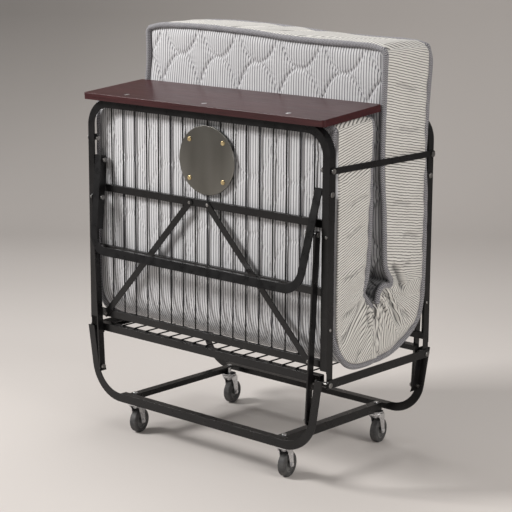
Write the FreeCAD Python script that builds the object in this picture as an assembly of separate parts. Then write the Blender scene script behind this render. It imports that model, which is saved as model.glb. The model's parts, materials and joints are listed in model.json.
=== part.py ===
import FreeCAD, Part
import math
import os

# Folding cot on four swivel casters, shown folded up.  Millimetres.
# X is the width, -Y is the front (table side), +Z is up, Z = 0 is the floor.
# Y = 0 lies midway between the two folded sleeping decks.

# ---- driving dimensions ------------------------------------------------------
DECK_W = 965.0          # outside width of a sleeping deck
DECK_TOP = 1045.0       # top of a folded deck
DECK_FACE = 239.0       # distance of a deck's outer face from Y = 0
DECK_CORNER = 85.0      # outside radius of the deck's two end corners
SEC = 25.0              # leg length of the angle sections
WALL = 3.0              # thickness of the angle sections
NOTCH_Z = 356.0         # the outer face of the deck stops here, above the hinge

HINGE_Y = 227.5         # deck hinge
HINGE_Z = 316.0
LEG_Y = 226.5           # leg pivot on the deck
LEG_Z = 856.0
CRANK_Y = 22.0          # leg pivot to link pin, also deck hinge to link foot
CRANK_Z = 113.0
LEG_TILT = 10.5         # lean of the folded leg, degrees
LEG_TAPER = 0.0963      # inward taper of the leg arms
LEG_HALF = 454.0        # outer edge of the leg arm at its pivot
LEG_REACH = 290.5       # leg pivot to the ground side of the leg
LEG_R = 70.0            # outside radius of the leg's two bends
LEG_SEC = 26.0
LEG_FACE = -12.5        # front of the leg section, from its pivot
LEG_END = 14.0          # the arms reach this far past the pivot

BOW_FACE = 255.0        # outer face of the carriage bows
BOW_TOP = 330.0
BOW_BOTTOM = 104.0
BOW_HALF = 478.0        # outer edge of a bow arm at its top
BOW_TAPER = 0.155
BOW_SEC = 26.0
BOW_R = 122.0
BAR_IN = 295.0          # carriage bars
BAR_OUT = 320.0

RAIL_X = 483.5          # inner face of the centre side rails
RAIL_TOP = 338.0        # top of the centre cross rails
WIRE_R = 2.2
WIRE_PITCH = 50.8
WIRE_COUNT = 17
PIN_R = 4.0             # hinge bolts
FIT = 0.06              # radial running clearance of the hinge bolts
FIXED_FIT = 0.05        # radial clearance where a bolt does not turn
OPEN_FIT = 0.35         # looser fit of the link pins
NUT_R = 7.5             # across corners, halved
COLLAR_R = 7.0          # spacers between the parts of a pivot

CASTER_X = 308.0
CASTER_Y = 216.0
CASTER_YAW = 10.0       # direction the casters trail in, from +Y
TRAIL = 18.0
WHEEL_R = 37.5
WHEEL_W = 24.0
AXLE_R = 4.0

BOARD_L = 958.0
BOARD_D = 254.0
BOARD_T = 20.0
BOARD_TILT = 5.0
BOARD_FRONT = 259.5     # distance of the board's front edge from Y = 0
PLAQUE_HALF_W = 110.0   # the plaque is slightly wider than high
PLAQUE_HALF_H = 102.5
PLAQUE_T = 4.5
PLAQUE_Z = 898.0
LATCH_Z = 921.0
LATCH_W = 18.0
STUD_Y = 229.0
STUD_R = 4.5
STUD_Z = LATCH_Z - 2.0

PAD_OUT = 209.3         # outer face of the mattress from Y = 0
PAD_FRONT_BACK = -52.0  # inner face of the front half
PAD_REAR_FRONT = -4.0   # inner face of the rear half
PAD_FRONT_TOP = 1040.0
PAD_REAR_TOP = 1244.0
PAD_HALF = 481.5        # half width of the mattress
PAD_FOLD_Z = 432.0      # height where the two upright halves begin


# ---- small builders ----------------------------------------------------------
def box(x0, x1, y0, y1, z0, z1):
    return Part.makeBox(x1 - x0, y1 - y0, z1 - z0, FreeCAD.Vector(x0, y0, z0))


def cyl(axis, a, b, p, q, r):
    """Round bar from a to b along one axis, centred at the other two values."""
    if axis == "x":
        base = FreeCAD.Vector(a, p, q)
        way = FreeCAD.Vector(1, 0, 0)
    elif axis == "y":
        base = FreeCAD.Vector(p, a, q)
        way = FreeCAD.Vector(0, 1, 0)
    else:
        base = FreeCAD.Vector(p, q, a)
        way = FreeCAD.Vector(0, 0, 1)
    return Part.makeCylinder(r, b - a, base, way)


def prism(points, y0, y1):
    """Outline given as (x, z) points, pushed from y0 to y1."""
    ring = [FreeCAD.Vector(x, y0, z) for x, z in points]
    ring.append(ring[0])
    return Part.Face(Part.makePolygon(ring)).extrude(FreeCAD.Vector(0, y1 - y0, 0))


def plate_yz(points, x0, x1):
    """Outline given as (y, z) points, pushed from x0 to x1."""
    ring = [FreeCAD.Vector(x0, y, z) for y, z in points]
    ring.append(ring[0])
    return Part.Face(Part.makePolygon(ring)).extrude(FreeCAD.Vector(x1 - x0, 0, 0))


def round_edges(solid, r, test):
    """Fillet every straight edge whose middle passes the test."""
    picked = []
    for edge in solid.Edges:
        mid = edge.CenterOfMass
        if test(edge, mid):
            picked.append(edge)
    return solid.makeFillet(r, picked)


def along(edge, axis):
    a = edge.Vertexes[0].Point
    b = edge.Vertexes[-1].Point
    d = b - a
    if d.Length < 1e-6:
        return False
    return abs(getattr(d, axis)) / d.Length > 0.999


def arch(half, top, r, bottom, y0, y1):
    """Slab with two rounded upper corners."""
    pts = [(-half, bottom), (half, bottom), (half, top), (-half, top)]
    return round_edges(prism(pts, y0, y1), r, lambda e, m: along(e, "y") and m.z > top - 0.1)


def cup(half, top, taper, low, r, y0, y1):
    """Slab that narrows downward and has two rounded lower corners."""
    foot = half - taper * (top - low)
    pts = [(-foot, low), (foot, low), (half, top), (-half, top)]
    return round_edges(prism(pts, y0, y1), r, lambda e, m: along(e, "y") and m.z < low + 0.1)


def mirror_x(shape):
    return shape.mirror(FreeCAD.Vector(0, 0, 0), FreeCAD.Vector(1, 0, 0))


def mirror_y(shape):
    return shape.mirror(FreeCAD.Vector(0, 0, 0), FreeCAD.Vector(0, 1, 0))


def both(shape):
    """The shape and its mirror image in X, as separate solids."""
    return [shape, mirror_x(shape)]


def drill_x(shape, y, z, r, x0, x1):
    hole = cyl("x", x0, x1, y, z, r)
    return shape.cut(hole).cut(mirror_x(hole))


def domed_x(x, y, z, r, h, rounding):
    """Bolt head on a face looking to +X, its rim rounded."""
    head = cyl("x", x, x + h, y, z, r)
    rim = [e for e in head.Edges if abs(e.CenterOfMass.x - x - h) < 1e-3]
    return head.makeFillet(rounding, rim)


def hexagon_x(x0, x1, y, z, r):
    pts = []
    for i in range(6):
        a = math.radians(60 * i + 30)
        pts.append((y + r * math.cos(a), z + r * math.sin(a)))
    return plate_yz(pts, x0, x1)


def screw_head(axis_z, x, y, z, r, h):
    """Low domed head: on a horizontal face, or on a face looking to -Y."""
    if axis_z:
        head = cyl("z", z, z + h, x, y, r)
        rim = [e for e in head.Edges if abs(e.CenterOfMass.z - z - h) < 1e-3]
    else:
        head = cyl("y", y - h, y, x, z, r)
        rim = [e for e in head.Edges if abs(e.CenterOfMass.y - y + h) < 1e-3]
    return head.makeFillet(h * 0.6, rim)


def bent_angle(half, top, taper, low, r, face, sec, wall, notch):
    """U bent from angle section, arms up.  The web faces -Y, the other leg of the
    angle runs round the inside of the U and is notched out at both bends."""
    web = cup(half, top, taper, low, r, face, face + wall)
    web = web.cut(cup(half - sec, top + 1, taper, low + sec, r - sec, face - 1, face + wall + 1))
    lip = cup(half - sec + wall, top, taper, low + sec - wall, r - sec + wall, face, face + sec)
    lip = lip.cut(cup(half - sec, top + 1, taper, low + sec, r - sec, face - 1, face + sec + 1))
    x_a, x_b, z_a, z_b = notch
    for side in (1, -1):
        x0, x1 = sorted((side * x_a, side * x_b))
        lip = lip.cut(box(x0, x1, face + wall, face + sec + 1, z_a, z_b))
    return web.fuse(lip).removeSplitter()


# ---- sleeping decks ----------------------------------------------------------
HALF = DECK_W / 2.0
FACE = -DECK_FACE
BACK = FACE + SEC
BAR_FACE = -226.3       # front of the cross bars, clear behind the folded leg
CROSSBAR_TOPS = (781.0, 588.0)
BOTTOM_RAIL_TOP = 382.0
BAR_DROP = 22.0         # height of a cross bar's upright leg


def deck_frame():
    end = HINGE_Z - 13.0
    rim = arch(HALF, DECK_TOP, DECK_CORNER, end, FACE, BACK)
    rim = rim.cut(arch(HALF - WALL, DECK_TOP - WALL, DECK_CORNER - WALL, end - 1, FACE - 1, BACK + 1))
    rim = round_edges(rim, 9.0, lambda e, m: along(e, "x") and m.z < end + 0.1)
    web = arch(HALF, DECK_TOP, DECK_CORNER, NOTCH_Z, FACE, FACE + WALL)
    inner = arch(HALF - SEC, DECK_TOP - SEC, DECK_CORNER - SEC, NOTCH_Z - 1, FACE - 1, FACE + WALL + 1)
    web = web.cut(inner)
    # below the web only the side leg of the angle runs on to the hinge
    rim = rim.cut(box(-600, 600, FACE - 1, FACE + 2.0, end - 5, NOTCH_Z - 6))
    frame = rim.fuse(web).removeSplitter()
    frame = drill_x(frame, -HINGE_Y, HINGE_Z, PIN_R + FIT, HALF - 10, HALF + 5)
    frame = drill_x(frame, -LEG_Y, LEG_Z, PIN_R + FIXED_FIT, HALF - 10, HALF + 5)
    return frame


def cross_angle(half, top, drop, y_front):
    """Straight angle across the deck: upright leg to the front, lip on top."""
    web = box(-half, half, y_front, y_front + WALL, top - drop, top)
    lip = box(-half, half, y_front, BACK, top - WALL, top)
    return web.fuse(lip).removeSplitter()


def deck_bars():
    inside = HALF - WALL
    bottom = cross_angle(inside, BOTTOM_RAIL_TOP, BAR_DROP, BAR_FACE)
    bars = []
    for top in CROSSBAR_TOPS:
        bars.append(cross_angle(inside, top, BAR_DROP, BAR_FACE))
    return bottom, bars


def wire_xs():
    first = -WIRE_PITCH * (WIRE_COUNT - 1) / 2.0
    return [first + WIRE_PITCH * i for i in range(WIRE_COUNT)]


def deck_wires():
    y = BACK + WIRE_R
    return [cyl("z", 366.0, DECK_TOP - 1.5, x, y, WIRE_R) for x in wire_xs()]


# upper and lower rivet of each brace, as (x, z)
BRACES = (((14.0, 769.0), (404.0, 370.0)), ((-59.0, 768.0), (-424.0, 370.0)))
BRACE_W = 20.0
BRACE_T = 2.5
BRACE_OVER = 11.0       # strip past each rivet
RIVET_R = 2.5


def brace(top, foot):
    """Flat diagonal strip riveted to the front of a cross bar and the bottom rail."""
    ax, az = top
    bx, bz = foot
    length = math.hypot(bx - ax, bz - az)
    ux, uz = (bx - ax) / length, (bz - az) / length
    nx, nz = -uz * BRACE_W / 2.0, ux * BRACE_W / 2.0
    px, pz = ax - ux * BRACE_OVER, az - uz * BRACE_OVER
    qx, qz = bx + ux * BRACE_OVER, bz + uz * BRACE_OVER
    pts = [(px + nx, pz + nz), (px - nx, pz - nz), (qx - nx, qz - nz), (qx + nx, qz + nz)]
    y0 = BAR_FACE - BRACE_T
    strip = prism(pts, y0, y0 + BRACE_T)
    strip = round_edges(strip, 6.0, lambda e, m: along(e, "y"))
    for x, z in (top, foot):
        strip = strip.cut(cyl("y", y0 - 1, y0 + BRACE_T + 1, x, z, RIVET_R + FIXED_FIT))
    return strip


def brace_rivets():
    out = []
    y0 = BAR_FACE - BRACE_T
    for x, z in BRACES[0] + BRACES[1]:
        shank = cyl("y", y0, BAR_FACE + WALL, x, z, RIVET_R)
        head = screw_head(False, x, y0, z, 5.0, 2.2)
        tail = cyl("y", BAR_FACE + WALL, BAR_FACE + WALL + 1.6, x, z, 4.0)
        out.append(shank.fuse(head).fuse(tail).removeSplitter())
    return out


def drill_rivets(shape):
    for x, z in BRACES[0] + BRACES[1]:
        shape = shape.cut(cyl("y", BAR_FACE - 1, BAR_FACE + WALL + 1, x, z, RIVET_R + FIXED_FIT))
    return shape


def leg_pivot_bolts():
    """Long bolts through the deck side, carrying the leg on a spacer."""
    x_leg = LEG_HALF - LEG_SEC + 3.4
    core = cyl("x", x_leg - 11, HALF, -LEG_Y, LEG_Z, PIN_R)
    spacer = cyl("x", x_leg + 1.2, HALF - WALL, -LEG_Y, LEG_Z, COLLAR_R)
    head = domed_x(HALF, -LEG_Y, LEG_Z, 8.0, 3.2, 2.0)
    nut = hexagon_x(x_leg - 11, x_leg - 5.2, -LEG_Y, LEG_Z, NUT_R)
    return both(core.fuse(spacer).fuse(head).fuse(nut).removeSplitter())


# ---- leg and links -----------------------------------------------------------
def to_leg(shape):
    """Carry a shape from leg coordinates (pivot at the origin) to its folded place."""
    turn = FreeCAD.Rotation(FreeCAD.Vector(1, 0, 0), -LEG_TILT)
    place = FreeCAD.Placement(FreeCAD.Vector(0, -LEG_Y, LEG_Z), turn)
    moved = shape.copy()
    moved.Placement = place.multiply(moved.Placement)
    return moved


LINK_Y = LEG_Y + CRANK_Y
LINK_Z = LEG_Z - CRANK_Z
FOOT_Y = HINGE_Y + CRANK_Y
FOOT_Z = HINGE_Z - CRANK_Z
LINK_IN_TOP = 446.5     # inner face of the link at its upper pin
LINK_IN_LOW = 422.0     # and at its foot
LINK_T = 5.0
LINK_W = 22.0


def leg():
    half = LEG_HALF + LEG_TAPER * LEG_END
    frame = bent_angle(half, LEG_END, LEG_TAPER, -LEG_REACH, LEG_R, LEG_FACE, LEG_SEC, WALL,
                       (330.0, 460.0, -LEG_REACH - 1, -LEG_REACH + 78.0))
    # the rear corner of each arm's end is rounded to swing clear of the mattress
    back = LEG_FACE + LEG_SEC
    frame = round_edges(frame, 8.0, lambda e, m: along(e, "x") and m.z > LEG_END - 0.1 and m.y > back - 0.1)
    frame = to_leg(frame)
    frame = drill_x(frame, -LEG_Y, LEG_Z, PIN_R + FIT, 400, 470)
    frame = drill_x(frame, -LINK_Y, LINK_Z, PIN_R + FIXED_FIT, 400, 470)
    return frame


def link_pins():
    """Pins fixed in the leg that run in the upper eyes of the links."""
    x_flange = LEG_HALF - LEG_SEC - LEG_TAPER * math.hypot(CRANK_Y, CRANK_Z)
    x_head = LINK_IN_TOP + LINK_T + 1.0
    core = cyl("x", x_flange - 8.0, x_head, -LINK_Y, LINK_Z, PIN_R)
    spacer = cyl("x", x_flange + WALL + 1.6, LINK_IN_TOP - 1.0, -LINK_Y, LINK_Z, 6.0)
    head = cyl("x", x_head, x_head + 2.6, -LINK_Y, LINK_Z, COLLAR_R)
    nut = hexagon_x(x_flange - 8.0, x_flange - 1.6, -LINK_Y, LINK_Z, NUT_R)
    return both(core.fuse(spacer).fuse(head).fuse(nut).removeSplitter())


def link():
    """Flat bar leaning inward toward its foot, cranked so both eyes stand upright."""
    z_top = LINK_Z
    z_low = FOOT_Z
    end = LINK_W / 2
    flat = 14.0
    profile = [(LINK_IN_TOP, z_top + end), (LINK_IN_TOP + LINK_T, z_top + end),
               (LINK_IN_TOP + LINK_T, z_top - flat), (LINK_IN_LOW + LINK_T, z_low + flat),
               (LINK_IN_LOW + LINK_T, z_low - end), (LINK_IN_LOW, z_low - end),
               (LINK_IN_LOW, z_low + flat), (LINK_IN_TOP, z_top - flat)]
    bar = prism(profile, -LINK_Y - end, -LINK_Y + end)
    # lean the bar so that both eyes sit on their pins
    shift = FreeCAD.Matrix()
    slope = (-LINK_Y + FOOT_Y) / (z_top - z_low)
    shift.A23 = slope
    shift.A24 = -slope * z_top
    bar = bar.transformGeometry(shift)
    bar = round_edges(bar, 9.0, lambda e, m: along(e, "x") and (m.z > z_top + 10 or m.z < z_low - 10))
    bar = bar.cut(cyl("x", 400, 500, -LINK_Y, z_top, PIN_R + OPEN_FIT))
    bar = bar.cut(cyl("x", 400, 500, -FOOT_Y, z_low, PIN_R + FIT))
    return bar


# ---- carriage ----------------------------------------------------------------
EAR_X = BOW_HALF - BOW_SEC - 2.5    # inner face of the hinge ears


def bow():
    frame = bent_angle(BOW_HALF, BOW_TOP, BOW_TAPER, BOW_BOTTOM, BOW_R, -BOW_FACE, BOW_SEC, WALL,
                       (338.0, 470.0, BOW_BOTTOM - 1, 186.0))
    # ears behind the arm tops take the deck hinge bolts
    y_back = -HINGE_Y + 14.0
    ear = box(EAR_X, EAR_X + WALL, -BOW_FACE + BOW_SEC - 4.0, y_back, HINGE_Z - 15.0, RAIL_TOP)
    frame = frame.fuse(ear).fuse(mirror_x(ear)).removeSplitter()
    frame = drill_x(frame, -HINGE_Y, HINGE_Z, PIN_R + FIXED_FIT, EAR_X - 5, EAR_X + 8)
    frame = drill_x(frame, -FOOT_Y, FOOT_Z, PIN_R + FIXED_FIT, 400, 452)
    return frame


def hinge_bolt():
    """Deck hinge: through the side rail, the deck side and the ear of the bow."""
    core = cyl("x", EAR_X - 9, RAIL_X + WALL, -HINGE_Y, HINGE_Z, PIN_R)
    spacer = cyl("x", EAR_X + WALL + 2.4, HALF - WALL - 0.6, -HINGE_Y, HINGE_Z, COLLAR_R)
    head = domed_x(RAIL_X + WALL, -HINGE_Y, HINGE_Z, 8.0, 3.4, 2.2)
    nut = hexagon_x(EAR_X - 8.0, EAR_X - 1.6, -HINGE_Y, HINGE_Z, NUT_R)
    return core.fuse(spacer).fuse(head).fuse(nut).removeSplitter()


def foot_bolt():
    """Lower link pivot on the inner leg of the bow arm, its head flattened to lie
    against the arm's front."""
    x_arm = BOW_HALF - BOW_SEC - BOW_TAPER * (BOW_TOP - FOOT_Z)
    core = cyl("x", LINK_IN_LOW - 8.5, x_arm + WALL + 9.0, -FOOT_Y, FOOT_Z, PIN_R)
    nut = hexagon_x(LINK_IN_LOW - 8.5, LINK_IN_LOW - 1.0, -FOOT_Y, FOOT_Z, NUT_R)
    x_head = x_arm + WALL + 1.4
    head = hexagon_x(x_head, x_head + 5.8, -FOOT_Y, FOOT_Z, 5.6)
    bow_front = box(x_head - 1, x_head + 7, -BOW_FACE - 5, -BOW_FACE + WALL + 0.1, FOOT_Z - 10, FOOT_Z + 10)
    head = head.cut(bow_front)
    return core.fuse(nut).fuse(head).removeSplitter()


def side_rail():
    rail = box(RAIL_X, RAIL_X + WALL, -HINGE_Y - 12.5, HINGE_Y + 12.5, 306.0, 331.0)
    rail = round_edges(rail, 11.0, lambda e, m: along(e, "x"))
    lip = box(RAIL_X - 22.0, RAIL_X, -205.0, 205.0, 306.0, 309.0)
    rail = rail.fuse(lip).removeSplitter()
    for s in (1, -1):
        rail = rail.cut(cyl("x", RAIL_X - 3, RAIL_X + 6, s * HINGE_Y, HINGE_Z, PIN_R + FIXED_FIT))
    return rail


def center_rail():
    half = EAR_X
    web = box(-half, half, -236.0, -233.0, RAIL_TOP - 23.0, RAIL_TOP)
    lip = box(-half, half, -236.0, -211.0, RAIL_TOP - WALL, RAIL_TOP)
    rail = web.fuse(lip).removeSplitter()
    # corners are cut back round the hinge nuts
    for s in (1, -1):
        x0, x1 = sorted((s * (half - 12.0), s * (half + 1.0)))
        rail = rail.cut(box(x0, x1, -237.0, -213.0, HINGE_Z - 20.0, HINGE_Z + 9.5))
    return rail


def center_wires():
    return [cyl("y", -222.0, 222.0, x, RAIL_TOP + WIRE_R, WIRE_R) for x in wire_xs()]


def carriage_bar():
    """Angle along Y between the bows: lip on top, upright leg outside."""
    end = BOW_FACE - BOW_SEC
    top = BOW_BOTTOM + BOW_SEC
    lip = box(BAR_IN, BAR_OUT, -end, end, top - WALL, top)
    web = box(BAR_OUT - WALL, BAR_OUT, -end, end, BOW_BOTTOM, top)
    bar = lip.fuse(web).removeSplitter()
    for s in (1, -1):
        bar = bar.cut(cyl("z", top - 5, top + 2, CASTER_X, s * CASTER_Y, 6.05))
    return bar


# ---- casters -----------------------------------------------------------------
def caster_mount():
    """Fixed half of a caster, swivel axis at the origin, z from the floor."""
    plate = cyl("z", 100.4, BOW_BOTTOM, 0, 0, 22.0)
    stem = cyl("z", BOW_BOTTOM, BOW_BOTTOM + BOW_SEC, 0, 0, 6.0)
    cap = screw_head(True, 0, 0, BOW_BOTTOM + BOW_SEC, 7.5, 3.0)
    pin = cyl("z", 84.0, 100.4, 0, 0, 5.0)
    foot = cyl("z", 82.0, 84.0, 0, 0, 8.0)
    return plate.fuse(stem).fuse(cap).fuse(pin).fuse(foot).removeSplitter()


def caster_fork():
    """Swivelling half: ball race ring and a pressed steel fork trailing to +Y."""
    ring = cyl("z", 93.6, 99.9, 0, 0, 24.0)
    ring = round_edges(ring, 1.6, lambda e, m: m.z > 99.8 or m.z < 93.7)
    crown = box(-17.0, 17.0, -16.0, 24.0, 90.6, 93.6)
    crown = round_edges(crown, 8.0, lambda e, m: along(e, "z"))
    zc = WHEEL_R
    legs = []
    for x0, x1 in ((14.6, 17.0), (-17.0, -14.6)):
        pts = [(-15.0, 92.6), (23.0, 92.6), (TRAIL + 9.0, zc), (TRAIL + 5.5, zc - 7.5),
               (TRAIL - 5.5, zc - 7.5), (TRAIL - 9.0, zc), (-2.0, 78.0)]
        cheek = plate_yz(pts, x0, x1)
        cheek = cheek.cut(cyl("x", x0 - 1, x1 + 1, TRAIL, zc, AXLE_R + 0.05))
        legs.append(cheek)
    fork = ring.fuse(crown).fuse(legs[0]).fuse(legs[1]).removeSplitter()
    fork = fork.cut(cyl("z", 88.0, 102.0, 0, 0, 5.06))
    return fork


def caster_axle():
    axle = cyl("x", -17.0, 17.0, TRAIL, WHEEL_R, AXLE_R)
    head = cyl("x", 17.0, 20.0, TRAIL, WHEEL_R, 6.5)
    return axle.fuse(head).fuse(mirror_x(head)).removeSplitter()


def caster_hub():
    hub = cyl("x", -WHEEL_W / 2 + 2, WHEEL_W / 2 - 2, TRAIL, WHEEL_R, 25.0)
    boss = cyl("x", -13.6, 13.6, TRAIL, WHEEL_R, 9.0)
    for s in (1, -1):
        x0, x1 = sorted((s * 6.0, s * (WHEEL_W / 2 - 1)))
        dish = cyl("x", x0, x1, TRAIL, WHEEL_R, 21.5)
        hub = hub.cut(dish)
    hub = hub.fuse(boss).removeSplitter()
    return hub.cut(cyl("x", -20, 20, TRAIL, WHEEL_R, AXLE_R + FIT))


def caster_tyre():
    tyre = cyl("x", -WHEEL_W / 2, WHEEL_W / 2, TRAIL, WHEEL_R, WHEEL_R)
    tyre = round_edges(tyre, 5.0, lambda e, m: abs(abs(m.x) - WHEEL_W / 2) < 0.01)
    tyre = tyre.cut(cyl("x", -WHEEL_W, WHEEL_W, TRAIL, WHEEL_R, 25.0))
    return tyre


def at_caster(shape, sx, sy):
    turn = FreeCAD.Rotation(FreeCAD.Vector(0, 0, 1), CASTER_YAW)
    place = FreeCAD.Placement(FreeCAD.Vector(sx * CASTER_X, sy * CASTER_Y, 0), turn)
    moved = shape.copy()
    moved.Placement = place.multiply(moved.Placement)
    return moved


# ---- table board, plaque, latch ----------------------------------------------
def board_place(shape):
    """Board coordinates: x across, y from the front edge, z up from the underside."""
    turn = FreeCAD.Rotation(FreeCAD.Vector(1, 0, 0), BOARD_TILT)
    drop = (BOARD_FRONT - DECK_FACE) * math.tan(math.radians(BOARD_TILT))
    place = FreeCAD.Placement(FreeCAD.Vector(0, -BOARD_FRONT, DECK_TOP - drop), turn)
    moved = shape.copy()
    moved.Placement = place.multiply(moved.Placement)
    return moved


SCREW_XS = (-322.0, 0.0, 322.0)
SCREW_BACK = 35.0       # from the board's front edge
WASHER_R = 8.5
WASHER_T = 1.1          # let into the board, a touch below its top


def table_board():
    board = box(-BOARD_L / 2, BOARD_L / 2, 0, BOARD_D, 0, BOARD_T)
    board = round_edges(board, 9.0, lambda e, m: along(e, "z"))
    board = round_edges(board, 1.5, lambda e, m: m.z > BOARD_T - 0.01)
    for x in SCREW_XS:
        board = board.cut(cyl("z", -1, BOARD_T + 1, x, SCREW_BACK, 2.55))
        board = board.cut(cyl("z", BOARD_T - WASHER_T, BOARD_T + 1, x, SCREW_BACK, WASHER_R + 0.1))
    return board_place(board)


def table_screws():
    """Flush screws, each with a cup washer let into the board."""
    out = []
    z_top = BOARD_T - 0.1
    for x in SCREW_XS:
        washer = cyl("z", BOARD_T - WASHER_T, z_top, x, SCREW_BACK, WASHER_R)
        groove = cyl("z", z_top - 0.5, z_top + 1, x, SCREW_BACK, 5.8)
        groove = groove.cut(cyl("z", z_top - 1, z_top + 2, x, SCREW_BACK, 5.0))
        shank = cyl("z", -7.0, z_top - 0.5, x, SCREW_BACK, 2.5)
        out.append(board_place(washer.cut(groove).fuse(shank).removeSplitter()))
    return out


def plaque_points():
    return [(sx * 67.0, PLAQUE_Z + sz * 57.5) for sx in (1, -1) for sz in (1, -1)]


def plaque():
    front = BACK - PLAQUE_T
    oval = Part.Ellipse(FreeCAD.Vector(PLAQUE_HALF_W, 0, 0), FreeCAD.Vector(0, PLAQUE_HALF_H, 0),
                        FreeCAD.Vector(0, 0, 0))
    disc = Part.Face(Part.Wire(oval.toShape())).extrude(FreeCAD.Vector(0, 0, PLAQUE_T))
    disc = disc.makeChamfer(1.0, [e for e in disc.Edges if e.CenterOfMass.z > PLAQUE_T - 0.01])
    stand = FreeCAD.Rotation(FreeCAD.Vector(1, 0, 0), 90)
    disc.Placement = FreeCAD.Placement(FreeCAD.Vector(0, BACK, PLAQUE_Z), stand)
    for x, z in plaque_points():
        disc = disc.cut(cyl("y", front - 1, BACK + 1, x, z, 2.05))
    return disc


def plaque_screws():
    out = []
    for x, z in plaque_points():
        head = screw_head(False, x, BACK - PLAQUE_T, z, 7.0, 3.0)
        shank = cyl("y", BACK - PLAQUE_T, BACK + 4.0, x, z, 2.0)
        out.append(head.fuse(shank).removeSplitter())
    return out


def latch_bar():
    """Flat strap from the front deck to the stud on the rear deck, hooked from above."""
    z0 = LATCH_Z - LATCH_W / 2
    z1 = LATCH_Z + LATCH_W / 2
    strap = box(RAIL_X, RAIL_X + WALL, -HINGE_Y - 9.0, STUD_Y + 12.0, z0, z1)
    strap = round_edges(strap, 7.5, lambda e, m: along(e, "x"))
    strap = strap.cut(cyl("x", RAIL_X - 2, RAIL_X + 6, -HINGE_Y, LATCH_Z, PIN_R + FIT))
    r = STUD_R + 1.1
    slot = cyl("x", RAIL_X - 2, RAIL_X + 6, STUD_Y, STUD_Z, r)
    slot = slot.fuse(box(RAIL_X - 2, RAIL_X + 6, STUD_Y - r, STUD_Y + r, z0 - 2, STUD_Z))
    return strap.cut(slot)


def latch_pivot():
    x_nut = HALF - 35.5
    x_head = RAIL_X + WALL + 0.5
    core = cyl("x", x_nut, x_head, -HINGE_Y, LATCH_Z, PIN_R)
    spacer = cyl("x", x_nut + 6.0, HALF - WALL, -HINGE_Y, LATCH_Z, 6.0)
    head = cyl("x", x_head, x_head + 3.0, -HINGE_Y, LATCH_Z, 7.5)
    nut = hexagon_x(x_nut, x_nut + 6.0, -HINGE_Y, LATCH_Z, NUT_R)
    return core.fuse(spacer).fuse(head).fuse(nut).removeSplitter()


def latch_stud():
    x_tail = HALF - WALL - 4.0
    x_head = RAIL_X + WALL + 0.5
    core = cyl("x", x_tail, x_head, STUD_Y, STUD_Z, STUD_R)
    tail = cyl("x", x_tail, HALF - WALL, STUD_Y, STUD_Z, 6.5)
    head = cyl("x", x_head, x_head + 3.0, STUD_Y, STUD_Z, 8.0)
    return core.fuse(tail).fuse(head).removeSplitter()


# ---- mattress ----------------------------------------------------------------
def mattress_half(y0, y1, top):
    pad = box(-PAD_HALF, PAD_HALF, y0, y1, PAD_FOLD_Z + 1.0, top)
    pad = round_edges(pad, 18.0, lambda e, m: m.z > top - 0.1)
    return pad


def mattress_center():
    """Lower bend of the folded mattress, resting on the wires of the middle section."""
    low = RAIL_TOP + 2 * WIRE_R + 0.3
    y_f = -PAD_OUT + 4.3
    y_r = PAD_OUT - 4.3
    pts = [(y_f, PAD_FOLD_Z), (y_f, 392.0), (y_f + 12.0, 366.0), (y_f + 34.0, 350.0), (y_f + 60.0, low),
           (y_r - 80.0, low), (y_r - 44.0, 352.0), (y_r - 16.0, 374.0), (y_r, 404.0), (y_r, PAD_FOLD_Z)]
    return plate_yz(pts, -PAD_HALF, PAD_HALF)


# ---- write every node --------------------------------------------------------
def group(items):
    if isinstance(items, list):
        return Part.makeCompound(items)
    return items


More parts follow.
